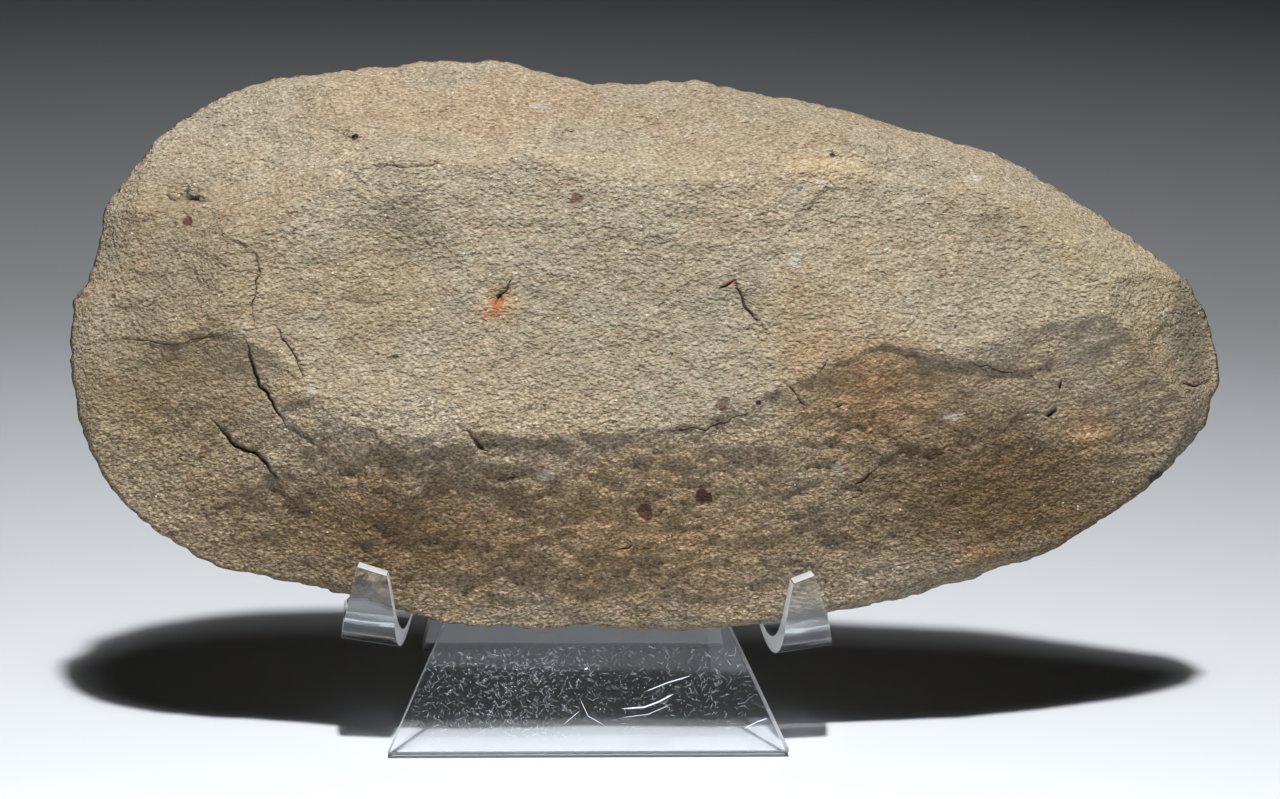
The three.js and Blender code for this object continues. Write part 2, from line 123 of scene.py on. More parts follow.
class Outline:
    """The celt's outline, looked up by the share of the way round or by direction from the middle."""

    def __init__(self):
        self.share, self.x, self.z = outline_table()
        turn = np.unwrap(np.arctan2(self.z - GIRDLE_UP, self.x))
        self.turns = np.concatenate([turn - 2 * math.pi, turn, turn + 2 * math.pi])
        self.shares = np.concatenate([self.share - 1, self.share, self.share + 1])
        self.radii = np.tile(np.hypot(self.x, self.z - GIRDLE_UP), 3)

    def point(self, share):
        x = np.interp(share % 1.0, self.share, self.x, period=1.0)
        z = np.interp(share % 1.0, self.share, self.z, period=1.0)
        return x, z

    def ring_and_share(self, x, z):
        turn = np.arctan2(z - GIRDLE_UP, x) % (2 * math.pi)
        radius = np.interp(turn, self.turns, self.radii)
        return np.hypot(x, z - GIRDLE_UP) / radius, np.interp(turn, self.turns, self.shares) % 1.0


outline = Outline()


def back_scars():
    scars = [BACK_CORE]

    def uneven(flake, value):
        return math.sin((3 + 2 * value) * flake + value)

    for n in range(BACK_FLAKES):
        share = (n + BACK_UNEVENNESS["place"] * uneven(n, 0)) / BACK_FLAKES
        rim_x, rim_z = (float(v) for v in outline.point(share))
        inset = BACK_FLAKE["inset"] + BACK_UNEVENNESS["inset"] * uneven(n, 1)
        slope = BACK_FLAKE["slope"] + BACK_UNEVENNESS["slope"] * uneven(n, 2)
        heading = math.atan2(rim_z - GIRDLE_UP, rim_x * (CELT_WIDTH / CELT_LENGTH))
        scars.append((
            100 * inset * rim_x / CELT_LENGTH,
            100 * (GIRDLE_UP + inset * (rim_z - GIRDLE_UP)) / CELT_WIDTH,
            BACK_FLAKE["height"] + BACK_UNEVENNESS["height"] * uneven(n, 3),
            -slope * math.cos(heading),
            -slope * math.sin(heading),
            BACK_FLAKE["hollow"],
        ))
    return scars


def face_height(x, z, ring, bulge, power, scars):
    """Height above the middle plane: the lowest of a full lens and the scars, with worn ridges."""
    heights = [bulge * (1 - np.minimum(ring, 1) ** power)]
    for along, up, height, right, rise, hollow in scars:
        dx = x - along * CELT_LENGTH / 100
        dz = z - up * CELT_WIDTH / 100
        slope = math.tan(math.radians(right)) * dx + math.tan(math.radians(rise)) * dz
        heights.append(height * bulge + slope + (dx * dx + dz * dz) / (2 * hollow * CELT_LENGTH))
    heights = np.array(heights)
    lowest = heights.min(axis=0)
    lowest = lowest - WORN_RIDGE * np.log(np.exp((lowest - heights) / WORN_RIDGE).sum(axis=0))
    least = bulge * SLIM_LENS * (1 - np.minimum(ring, 1) ** SLIM_LENS_POWER)
    return np.maximum(lowest, least)


def edge_wave(share):
    turn = 2 * math.pi * share
    twist = EDGE_TWIST * np.sin(TWIST_WAVES * turn + TWIST_PHASE)
    return twist + EDGE_RIPPLE * np.sin(RIPPLE_WAVES * turn + RIPPLE_PHASE)


# Celt front, fine marks, in millimetres on the stone: x from its middle, z from its lower edge.

# Cracks: route, half width, depth.
CRACKS = [
    ([(-70.3, 50.2), (-69.8, 46.5), (-68.6, 43.2), (-67.3, 40.7), (-66.1, 38.2), (-63.4, 34.8)], 0.34, 1.5),
    ([(-66.5, 52.3), (-64.8, 51.1), (-62.6, 47.8), (-61.7, 45.7), (-61.1, 43.2), (-60.1, 41.5)], 0.22, 1.1),
    ([(-76.9, 36.1), (-74.8, 34.0), (-72.3, 31.9), (-69.8, 30.5), (-67.3, 28.6), (-64.8, 25.2)], 0.42, 1.2),
    ([(-27.6, 55.6), (-26.1, 57.8), (-25.0, 59.8)], 0.26, 1.0),
    ([(72.0, 43.3), (71.6, 41.4)], 0.36, 1.2),
    ([(71.4, 38.7), (70.2, 37.7), (69.0, 37.5)], 0.5, 1.4),
    ([(94.6, 42.2), (96.8, 43.1), (101.0, 44.5)], 0.3, 1.3),
    ([(10.6, 58.0), (12.2, 58.6), (13.9, 59.3)], 0.2, 0.7),
    ([(14.0, 59.2), (15.0, 57.4), (15.6, 55.6), (17.8, 52.7)], 0.28, 0.7),
    ([(-33.0, 33.6), (-30.7, 31.5), (-28.3, 30.1)], 0.6, 1.2),
    ([(-81.1, 77.8), (-80.6, 75.0), (-76.8, 73.9)], 0.7, 1.0),
    ([(-16.1, 86.1), (-15.2, 87.3), (-13.2, 86.9)], 0.3, 0.5),
    ([(34.7, 24.8), (37.7, 27.3)], 0.26, 0.6),
    ([(28.1, 43.8), (29.4, 45.2)], 0.3, 0.7),
    ([(21.8, 41.5), (24.0, 39.8), (26.4, 38.2)], 0.24, 0.5),
    ([(30.6, 37.8), (32.3, 38.7)], 0.26, 0.5),
    ([(-6.6, 13.0), (-3.4, 14.6)], 0.2, 0.4),
    ([(-47.9, 78.7), (-43.8, 79.0), (-36.8, 79.8)], 0.16, 0.35),
    ([(-69.4, 65.4), (-68.2, 61.5), (-68.6, 58.2), (-69.3, 54.8), (-69.2, 51.5)], 0.15, 0.4),
    ([(0.2, 32.8), (3.5, 33.8), (8.5, 34.2), (12.7, 35.4), (17.6, 37.2)], 0.16, 0.4),
    ([(-97.0, 50.6), (-91.5, 50.5), (-84.0, 48.8), (-79.8, 49.4), (-73.0, 51.0)], 0.12, 0.25),
    ([(54.3, 45.4), (59.3, 44.9), (64.5, 44.6)], 0.14, 0.35),
    ([(-85.0, 75.5), (-82.6, 74.8)], 0.25, 0.5),
]

# Steps: route walked with the low side on the right hand, drop, and how far the low side takes to rise again.
STEPS = [
    ([(-99.0, 50.3), (-91.5, 50.3), (-84.0, 48.6), (-79.8, 49.2), (-76.5, 50.5), (-70.7, 50.2)], 0.28, 11.0),
    ([(-74.8, 65.7), (-71.9, 66.1), (-68.6, 64.4), (-68.0, 61.5), (-69.2, 54.8), (-69.2, 51.0)], 0.35, 12.0),
    ([(-70.3, 50.2), (-68.6, 43.2), (-66.1, 38.2), (-62.3, 34.0), (-55.7, 29.8)], 0.45, 8.0),
    ([(-76.9, 36.1), (-72.3, 31.9), (-67.3, 28.6), (-64.0, 23.4), (-58.0, 20.0)], 0.35, 7.0),
    ([(-55.5, 38.5), (-50.3, 35.1), (-46.2, 30.7), (-42.9, 28.7), (-38.0, 29.4), (-33.9, 31.1)], 0.28, 8.0),
    ([(-55.7, 29.8), (-53.2, 28.2), (-50.7, 25.7), (-51.1, 22.3)], 0.35, 6.0),
    ([(-28.3, 30.1), (-25.7, 31.3), (-23.2, 31.9), (-20.7, 31.3), (-14.0, 33.0), (-8.0, 32.6)], 0.15, 7.0),
    ([(0.2, 32.6), (3.5, 33.6), (8.5, 34.0), (12.7, 35.2), (17.6, 37.0)], 0.13, 8.0),
    ([(-31.0, 24.8), (-26.5, 24.0), (-23.2, 21.9), (-19.8, 22.8), (-15.0, 24.6)], 0.35, 4.0),
    ([(17.0, 38.2), (20.2, 39.8), (23.5, 41.1), (28.5, 44.2), (31.8, 45.3), (35.2, 47.3)], 0.26, 9.0),
    ([(35.2, 47.3), (40.2, 48.2), (43.5, 47.3), (49.3, 45.7), (54.3, 45.2), (59.3, 44.7)], 0.36, 9.0),
    ([(57.0, 44.8), (63.5, 44.4), (66.8, 45.0), (69.8, 45.5), (70.4, 48.6)], 0.35, 7.0),
    ([(17.0, 38.0), (19.0, 33.4), (23.5, 29.0), (29.0, 26.2)], -0.25, 6.0),
    ([(34.7, 24.8), (37.7, 27.3), (41.0, 29.8), (46.0, 31.2), (52.0, 30.6)], 0.3, 6.0),
    ([(87.4, 48.4), (89.3, 52.3), (91.8, 54.4), (94.0, 57.0), (94.7, 62.8)], 0.35, 9.0),
    ([(86.0, 33.0), (90.5, 36.5), (96.0, 38.5)], 0.25, 4.0),
    ([(21.0, 74.6), (24.3, 70.7), (27.7, 73.2), (30.2, 76.5), (33.5, 76.6), (36.2, 76.0)], 0.35, 6.0),
    ([(-20.0, 57.8), (-14.8, 59.4), (-10.0, 61.2)], -0.3, 5.0),
    ([(-57.0, 88.3), (-55.2, 86.0), (-52.0, 85.0), (-46.0, 83.2)], 0.23, 4.0),
    ([(-90.0, 71.0), (-84.0, 73.6), (-81.5, 76.0)], 0.2, 5.0),
    ([(-44.0, 73.0), (-41.0, 69.5), (-37.0, 65.0), (-33.0, 62.0)], -0.23, 8.0),
    ([(10.6, 58.2), (13.9, 59.4), (15.2, 56.6), (17.8, 52.7), (20.5, 49.0)], 0.35, 6.0),
    ([(-43.0, 9.4), (-40.0, 10.3), (-37.0, 9.0)], 0.17, 3.5),
    ([(-35.0, 9.2), (-28.5, 10.4), (-22.3, 8.8), (-18.0, 7.0)], 0.2, 4.0),
    ([(-31.0, 5.0), (-27.3, 6.1), (-24.5, 5.0)], 0.15, 3.0),
    ([(-16.0, 11.4), (-10.7, 13.2), (-5.7, 11.6), (6.0, 12.2)], 0.17, 4.0),
    ([(-48.0, 14.0), (-42.0, 15.6), (-36.0, 14.6)], 0.17, 4.0),
    ([(24.0, 14.6), (32.0, 15.6), (42.0, 14.8)], 0.17, 4.0),
    ([(2.0, 7.2), (8.0, 8.8), (14.0, 8.2)], 0.15, 3.0),
    ([(58.0, 16.0), (66.0, 18.4), (74.0, 19.0)], 0.15, 4.0),
]

# Scales: short low steps scattered over the rougher parts: middle, half widths, how many, drop.
SCALES = [
    (-10, 18, 50, 11, 95, 0.19), (45, 34, 24, 11, 46, 0.16), (-70, 30, 18, 12, 30, 0.12),
    (10, 62, 60, 24, 50, 0.09), (-60, 68, 26, 18, 24, 0.1), (60, 62, 28, 12, 14, 0.07),
]
SCALE_LENGTH = (3.0, 8.0)
SCALE_RECOVER = 2.2

# Hollows: place, half widths, depth.
HOLLOWS = [
    (-27.4, 56.0, 1.7, 1.3, 0.8), (-29.6, 31.6, 2.0, 1.3, 0.7), (-80.2, 75.0, 1.4, 1.6, 0.5),
    (-80.9, 70.6, 0.9, 1.3, 0.5), (-52.0, 85.1, 0.6, 0.5, 0.8), (-13.7, 73.8, 1.0, 0.7, 0.2),
    (8.5, 22.6, 1.2, 1.2, 0.3), (-1.6, 20.0, 1.4, 1.1, 0.4), (16.4, 56.0, 1.6, 1.6, 0.5),
    (91.2, 27.0, 3.0, 2.2, 1.1), (31.4, 82.4, 0.5, 0.4, 0.5), (-18.0, 89.0, 2.4, 1.2, 0.35),
    (59.5, 70.5, 4.5, 2.0, 0.35), (-24.0, 26.0, 5.0, 1.6, 0.5), (-44.0, 66.0, 6.0, 6.0, 0.5),
    (17.6, 38.3, 0.5, 0.4, 0.4), (-88.0, 60.0, 3.0, 2.2, 0.35), (20.0, 66.0, 3.0, 5.0, 0.4),
    (-53.0, 27.0, 3.0, 2.5, 0.5), (40.0, 80.0, 3.0, 2.0, 0.3), (77.0, 36.0, 4.0, 3.2, 0.25),
]

# Zones of colour and of painted shade, each a soft oval: place, half widths, and what it multiplies red,
# green and blue by.
# The dark zones along the lower band are partly its browner colour and partly painted shade of its downward
# faces; the small grey zones over hollows and along steps are painted shade.
ZONES = [
    (-6, 54, 30, 22, (0.88, 0.9, 0.9)), (-30, 92, 34, 9, (0.95, 0.9, 0.87)),
    (20, 90, 30, 8, (0.88, 0.86, 0.84)), (56, 64, 30, 16, (0.9, 0.9, 0.87)),
    (84, 62, 16, 14, (1.02, 1.02, 0.95)), (38, 40, 15, 9, (0.96, 0.76, 0.57)),
    (24, 52, 8, 10, (1.0, 0.9, 0.8)), (62, 24, 34, 15, (0.4, 0.31, 0.21)),
    (-54, 16, 28, 15, (0.56, 0.47, 0.38)), (-6, 16, 40, 15, (0.82, 0.68, 0.55)),
    (-84, 38, 20, 18, (0.7, 0.63, 0.53)), (-82, 66, 18, 14, (0.8, 0.77, 0.72)),
    (-42, 67, 6, 8, (0.84, 0.83, 0.8)), (-50, 58, 14, 12, (0.88, 0.87, 0.83)),
    (97, 52, 5, 12, (0.52, 0.53, 0.52)), (88, 42, 12, 12, (0.82, 0.79, 0.74)),
    (31, 79.5, 8, 3.0, (1.25, 1.15, 1.04)), (76.5, 35, 4.5, 4.0, (1.4, 1.2, 1.06)),
    (58, 13, 4, 2.4, (1.3, 1.14, 1.0)), (-27, 55.5, 3.6, 3.0, (1.2, 0.93, 0.74)),
    (-63, 41, 3.2, 3.2, (1.12, 1.02, 0.94)), (59.5, 70.5, 4.6, 2.6, (0.8, 0.82, 0.82)),
    (-22, 31, 6, 2, (0.84, 0.84, 0.84)), (-25, 24, 6, 2, (0.8, 0.8, 0.78)),
    (-95, 66, 4, 4, (0.95, 1.02, 1.06)),
]

# Stains, mineral patches and the painted shade of small pits, each with a clear edge: place, half widths,
# colour, strength.
RUST = (0.30, 0.10, 0.03)
RED_BROWN = (0.075, 0.03, 0.014)
# Near-black painted shade inside small pits.
PIT_SHADE = (0.03, 0.025, 0.02)
PALE = (0.46, 0.46, 0.44)
SPOTS = [
    (-27.4, 55.4, 1.0, 1.2, RUST, 0.8), (-28.4, 53.4, 1.3, 0.6, RUST, 0.6),
    (-27.0, 56.6, 0.5, 0.5, PIT_SHADE, 0.8), (-13.7, 73.8, 1.2, 0.8, RED_BROWN, 0.75),
    (11.4, 38.0, 1.1, 1.2, RED_BROWN, 0.7), (8.5, 22.6, 1.3, 1.4, RED_BROWN, 0.85),
    (-1.6, 20.0, 1.4, 1.2, RED_BROWN, 0.9), (-77.8, 30.6, 1.1, 1.0, RED_BROWN, 0.55),
    (-80.9, 70.6, 0.7, 1.0, RED_BROWN, 0.9), (-75.0, 71.4, 0.7, 0.7, RUST, 0.4),
    (13.0, 59.2, 1.0, 0.3, RUST, 0.7), (-52.0, 85.1, 0.6, 0.45, PIT_SHADE, 0.95),
    (91.4, 26.8, 2.2, 1.2, PIT_SHADE, 0.8), (31.4, 82.4, 0.4, 0.3, PIT_SHADE, 0.8),
    (17.6, 38.3, 0.45, 0.35, PIT_SHADE, 0.9), (5.0, 21.6, 0.5, 0.5, PIT_SHADE, 0.6),
    (-20.0, 91.6, 1.3, 0.6, PALE, 0.35), (-19.0, 26.0, 1.6, 0.7, PALE, 0.5),
    (-59.0, 40.6, 1.2, 0.8, PALE, 0.4), (40.6, 65.4, 0.5, 0.5, PALE, 0.8),
    (29.4, 77.0, 1.2, 0.5, PALE, 0.6), (32.0, 27.6, 1.2, 0.8, PALE, 0.35),
    (52.0, 36.6, 1.6, 0.7, PALE, 0.35), (24.2, 63.0, 0.9, 1.6, PALE, 0.45),
    (57.0, 79.0, 1.6, 0.5, PALE, 0.4), (-60.8, 46.6, 0.3, 0.3, PIT_SHADE, 0.6),
    (-44.8, 46.3, 0.45, 0.4, PIT_SHADE, 0.8), (-99.4, 58.6, 0.9, 0.7, RED_BROWN, 0.6),
    (-93.8, 58.0, 0.4, 0.4, PIT_SHADE, 0.7), (-86.6, 56.6, 0.3, 0.3, PIT_SHADE, 0.6),
]
SPOT_BLUR = 0.16
BACK_TINT = (0.98, 0.95, 0.9)

# How uneven a spot's edge is: size, waves round it, and phase for each spot in turn.
SPOT_LOBES = [(0.16, 2, 1.7), (0.12, 3, 2.9), (0.08, 7, 1)]
SPOT_POINTS = 9

# How uneven a mark's line is: swing, wavelength, and the seeds of its two directions.
LINE_WOBBLE = [(0.9, 4.5, 1, 2), (0.5, 1.6, 9, 10)]
BLUNT_END = 0.12

# Profiles of the marks. A step falls over STEP_RUN and rises again over its own length.
STEP_RUN = 0.36
STEP_REACH = 3.5
STEP_RISE_POWER = 1.5
STEP_TAPER = 6
# SCARP_SHADE sets how strongly a step's scarp is darkened with painted shade, for each millimetre of its
# drop.
SCARP_SHADE = 1.2
CRACK_REACH = 2.0
CRACK_TAPER = 3
LEAST_CRACK = 0.02
HOLLOW_EDGE = 1.8

# Zones drift by this much, less for a narrow one, and fade by this power.
ZONE_DRIFT = 3.0
ZONE_DRIFT_WAVE = 9.0
ZONE_WIDE = 8
ZONE_POWER = 1.5

# Mesh of the stone: spacing of its points, and how finely the marks' own lines are set out.
RIM_COUNT = 840
FRONT_STEP = 0.56
BACK_STEP = 1.3
LINE_STEP = 0.45
LINE_ROOM = 0.3
GRID_ROOM = 0.6
GRID_JITTER = 0.2
LINES_INSIDE = 0.992
GRID_INSIDE = 0.995
MERGE = 1e-5

# Relief of the faces: height, wavelength and seed. Facets' edges also wander, by a size at a
# wavelength with a seed for each direction.
FACET_WARP = [(1.6, 9.0, 21, 23), (0.9, 3.6, 22, 24)]
COARSE_RELIEF = [(0.4, 17.0, 3), (0.34, 7.0, 4), (0.22, 3.6, 16)]
FINE_RELIEF = 0.16, 2.2, 5
FINEST_RELIEF = 0.1, 1.3, 6
SCALY_STRETCH = [0.6, 1.0, 1.0]
SINK = 0.3
WARP_FADE = 5
RELIEF_FADE = 12
DEEPEST_SHARE = 0.55
DEEPEST_AT_RIM = 0.05

# The lower band of the front is rougher: its upper limit, how that wanders, and the changes there.
ROUGH_BELOW = 44.0
ROUGH_WANDER = 6.0, 14.0, 30
ROUGH_BLEND = 10
ROUGH_LESS_COARSE = 0.45
ROUGH_MORE_FINE = 1.1
# How much of the speckle's painted grain light and shade the back gets.
BACK_GRAIN_LIGHT_AND_SHADE = 0.2

# Nicks of the edge: depth, wavelength, seed, and the power by which they fade inwards.
SCALLOP = 1.1, 7.0, 7, 24
NICK = 0.55, 2.2, 8, 60
SMALL_NICK = 0.5, 0.9, 15
NICK_BIAS = 0.25


def smooth(value):
    value = np.clip(value, 0, 1)
    return value * value * (3 - 2 * value)


def wobble(points, wavelength, seed):
    """Smooth noise from about -1 to 1 at each point."""
    shift = Vector((seed * 17.3, seed * 5.1, seed * 11.7))
    return np.array([noise.noise(Vector(p) / wavelength + shift) for p in points])


def flat_wobble(points, wavelength, seed):
    return wobble(np.stack([points[:, 0], np.zeros(len(points)), points[:, 1]], axis=1), wavelength, seed)


def jagged(route):
    """A route's points set out closely, with an uneven line between the given ones."""
    points = np.array(route, float)
    lengths = np.concatenate([[0], np.cumsum(np.hypot(*np.diff(points, axis=0).T))])
    at = np.linspace(0, lengths[-1], max(3, round(lengths[-1] / LINE_STEP)))
    line = np.stack([np.interp(at, lengths, points[:, 0]), np.interp(at, lengths, points[:, 1])], axis=1)
    swing = sum(size * flat_wobble(line, wave, seed) for size, wave, seed, _ in LINE_WOBBLE)
    lift = sum(size * flat_wobble(line, wave, seed) for size, wave, _, seed in LINE_WOBBLE)
    return line + np.stack([swing, lift], axis=1)


def offset_line(line, gap):
    """A line beside another, gap to its right hand."""
    along = np.gradient(line, axis=0)
    along /= np.hypot(*along.T)[:, None]
    gap = np.broadcast_to(gap, len(line))[:, None]
    return line + np.stack([along[:, 1], -along[:, 0]], axis=1) * gap


def taper_of(share, sharpness):
    """Fades a mark towards both ends of its line."""
    return smooth(sharpness * share + BLUNT_END) * smooth(sharpness * (1 - share) + BLUNT_END)


def scattered_scales():
    """Short steps in random places, each an arc with its low side below."""
    rng = np.random.default_rng(11)
    scales = []
    for mid_x, mid_z, half_x, half_z, count, drop in SCALES:
        for _ in range(count):
            x = mid_x + half_x * rng.uniform(-1, 1)
            z = mid_z + half_z * rng.uniform(-1, 1)
            half = rng.uniform(*SCALE_LENGTH) / 2
            slope, rise = rng.uniform(-0.35, 0.5), rng.uniform(0.1, 0.5) * half
            scales.append((
                [(x - half, z - slope * half - rise), (x, z), (x + half, z + slope * half - rise)],
                drop * rng.uniform(0.5, 1.3), SCALE_RECOVER * rng.uniform(0.7, 1.5),
            ))
    return scales


CRACK_LINES = [(jagged(route), half, deep) for route, half, deep in CRACKS]
STEP_LINES = [(jagged(route), drop, recover) for route, drop, recover in STEPS + scattered_scales()]


def spot_edge(turn, n):
    """How far a spot reaches in a direction, as a share of its half widths."""
    return sum((size * np.sin(waves * turn + phase * n) for size, waves, phase in SPOT_LOBES), 1)


def mark_lines():
    """Lines that the mesh's edges follow: both edges of each step and crack, and round each spot."""
    lines = []
    for line, _, _ in STEP_LINES:
        lines += [offset_line(line, gap) for gap in (-STEP_RUN / 2, STEP_RUN / 2)]
    for line, half, _ in CRACK_LINES:
        width = half * taper_of(np.linspace(0, 1, len(line)), CRACK_TAPER)
        lines += [offset_line(line, gap) for gap in (-width, np.zeros(len(line)), width)]
    for n, (x, z, half_x, half_z, _, _) in enumerate(SPOTS):
        count = max(SPOT_POINTS, round(SPOT_POINTS * max(half_x, half_z)))
        turn = np.linspace(0, 2 * math.pi, count + 1)
        for blur in (0, SPOT_BLUR):
            reach = spot_edge(turn, n)
            lines.append(np.stack([
                x + (half_x * reach + blur) * np.cos(turn), z + (half_z * reach + blur) * np.sin(turn),
            ], axis=1))
    return lines


def nearest_on_line(x, z, line):
    """Distance to a line, the share of its length there, and the side (positive on its right hand)."""
    best = np.full(x.shape, np.inf)
    share = np.zeros(x.shape)
    side = np.ones(x.shape)
    count = len(line) - 1
    for n, ((x0, z0), (x1, z1)) in enumerate(zip(line[:-1], line[1:])):
        run_x, run_z = x1 - x0, z1 - z0
        along = np.clip(((x - x0) * run_x + (z - z0) * run_z) / (run_x ** 2 + run_z ** 2), 0, 1)
        gap = np.hypot(x - x0 - along * run_x, z - z0 - along * run_z)
        closer = gap < best
        share[closer] = ((n + along) / count)[closer]
        side[closer] = np.where(run_x * (z - z0) - run_z * (x - x0) > 0, -1, 1)[closer]
        best = np.minimum(best, gap)
    return best, share, side


def points_near(x, z, line, reach):
    low, high = line.min(axis=0) - reach, line.max(axis=0) + reach
    return np.nonzero((x > low[0]) & (x < high[0]) & (z > low[1]) & (z < high[1]))[0]


def front_marks(x, z):
    """Depth of the front's cracks, steps and hollows, and how much painted shade each place gets in its
    cracks and along its step scarps.
    """
    depth = np.zeros_like(x)
    crevice_shade = np.zeros_like(x)
    for line, drop, recover in STEP_LINES:
        near = points_near(x, z, line, STEP_REACH * recover)
        gap, share, side = nearest_on_line(x[near], z[near], line)
        low = side * gap if drop > 0 else -side * gap
        rise = np.exp(-(np.maximum(0, low) / recover) ** STEP_RISE_POWER)
        fall = np.clip(low / STEP_RUN + 0.5, 0, 1) * rise
        ends = np.exp(-(np.maximum(0, gap - np.abs(low)) / recover) ** 2)
        taper = taper_of(share, STEP_TAPER)
        depth[near] += abs(drop) * fall * ends * taper
        # A step's scarp and a crack's inside get painted shade.
        scarp = np.maximum(0, 1 - gap / STEP_RUN) * taper * min(1, SCARP_SHADE * abs(drop))
        crevice_shade[near] = np.maximum(crevice_shade[near], scarp)
    for line, half, deep in CRACK_LINES:
        near = points_near(x, z, line, CRACK_REACH)
        gap, share, _ = nearest_on_line(x[near], z[near], line)
        taper = taper_of(share, CRACK_TAPER)
        notch = np.maximum(0, 1 - gap / np.maximum(LEAST_CRACK, half * taper)) * taper
        depth[near] += deep * notch
        crevice_shade[near] = np.maximum(crevice_shade[near], notch)
    for at_x, at_z, half_x, half_z, deep in HOLLOWS:
        away = ((x - at_x) / half_x) ** 2 + ((z - at_z) / half_z) ** 2
        depth += deep * np.maximum(0, 1 - away / HOLLOW_EDGE) ** 2
    return depth, crevice_shade


def stone_tint(x, z):
    """What multiplies the stone's colour, partly painted shade, and the colour and strength of its stains and
    of the painted shade in its pits.
    """
    near = np.stack([x, z], axis=1)
    drift_x = ZONE_DRIFT * flat_wobble(near, ZONE_DRIFT_WAVE, 11)
    drift_z = ZONE_DRIFT * flat_wobble(near, ZONE_DRIFT_WAVE, 12)
    tint = np.ones((len(x), 3))
    for at_x, at_z, half_x, half_z, colour in ZONES:
        loose = min(1.0, half_z / ZONE_WIDE)
        across = (x + loose * drift_x - at_x) / half_x
        up = (z + loose * drift_z - at_z) / half_z
        away = across ** 2 + up ** 2
        tint *= 1 + np.exp(-away ** ZONE_POWER)[:, None] * (np.array(colour) - 1)
    stain_and_pit_shade = np.zeros(len(x))
    stain_and_pit_shade_colour = np.zeros((len(x), 3))
    for n, (at_x, at_z, half_x, half_z, colour, strength) in enumerate(SPOTS):
        turn = np.arctan2((z - at_z) / half_z, (x - at_x) / half_x)
        reach = spot_edge(turn, n)
        away = np.hypot((x - at_x) / half_x, (z - at_z) / half_z) - reach
        weight = strength * np.clip(1 - away * min(half_x, half_z) / SPOT_BLUR, 0, 1)
        stain_and_pit_shade_colour = np.where((weight > stain_and_pit_shade)[:, None], np.array(colour), stain_and_pit_shade_colour)
        stain_and_pit_shade = np.maximum(stain_and_pit_shade, weight)
    return tint, stain_and_pit_shade_colour, stain_and_pit_shade


def sheet(spacing, lines, seed):
    """Points and triangles that fill the outline and follow the lines. The rim's points are first."""
    rng = np.random.default_rng(seed)
    rim = np.stack(outline.point(np.arange(RIM_COUNT) / RIM_COUNT), axis=1)
    points = [tuple(p) for p in rim]
    edges = [(n, (n + 1) % RIM_COUNT) for n in range(RIM_COUNT)]
    for line in lines:
        ring, _ = outline.ring_and_share(line[:, 0], line[:, 1])
        inside = ring < LINES_INSIDE
        start = len(points)
        points += [tuple(p) for p in line[inside]]
        edges += [(n, n + 1) for n in range(start, len(points) - 1)]
    fixed = kdtree.KDTree(len(points))
    for n, point in enumerate(points):
        fixed.insert((point[0], point[1], 0), n)
    fixed.balance()
    rows = np.arange(-2, CELT_WIDTH + 2, spacing * math.sqrt(0.75))
    for n, z in enumerate(rows):
        across = np.arange(-CELT_LENGTH / 2, CELT_LENGTH / 2, spacing) + 0.5 * spacing * (n % 2)
        jitter = rng.uniform(-GRID_JITTER, GRID_JITTER, (len(across), 2)) * spacing
        row = np.stack([across, np.full(len(across), z)], axis=1) + jitter
        ring, _ = outline.ring_and_share(row[:, 0], row[:, 1])
        for px, pz in row[ring < GRID_INSIDE]:
            if fixed.find((px, pz, 0))[2] > min(GRID_ROOM * spacing, LINE_ROOM):
                points.append((px, pz))
    found, _, faces, sources, _, _ = geometry.delaunay_2d_cdt(
        [Vector(p) for p in points], edges, [], 1, MERGE, True,
    )
    order = np.arange(len(found)) + RIM_COUNT
    for n, source in enumerate(sources):
        if source and min(source) < RIM_COUNT:
            order[n] = min(source)
    places = np.zeros((len(found) + RIM_COUNT, 2))
    places[order] = np.array([p[:] for p in found])
    faces = np.array([[order[n] for n in face] for face in faces])
    middle = places[faces].mean(axis=1)
    ring, _ = outline.ring_and_share(middle[:, 0], middle[:, 1])
    return places, [tuple(face) for face in faces[ring < 1].tolist()]


def flat_mesh():
    """Front and back sheets that share their rim. side is -1 in front, 0 on the rim, 1 at the back."""
    front, front_faces = sheet(FRONT_STEP, mark_lines(), 1)
    back, back_faces = sheet(BACK_STEP, [], 2)
    shift = len(front) - RIM_COUNT
    places = np.concatenate([front, back[RIM_COUNT:]])
    side = np.concatenate([
        np.zeros(RIM_COUNT), -np.ones(len(front) - RIM_COUNT), np.ones(len(back) - RIM_COUNT),
    ])
    moved = [tuple(n if n < RIM_COUNT else n + shift for n in face) for face in back_faces]
    faces = front_faces + [face[::-1] for face in moved]
    used = np.zeros(len(places), bool)
    used[np.array(faces).ravel()] = True
    renumbered = np.cumsum(used) - 1
    return places[used], side[used], [tuple(int(renumbered[n]) for n in face) for face in faces]


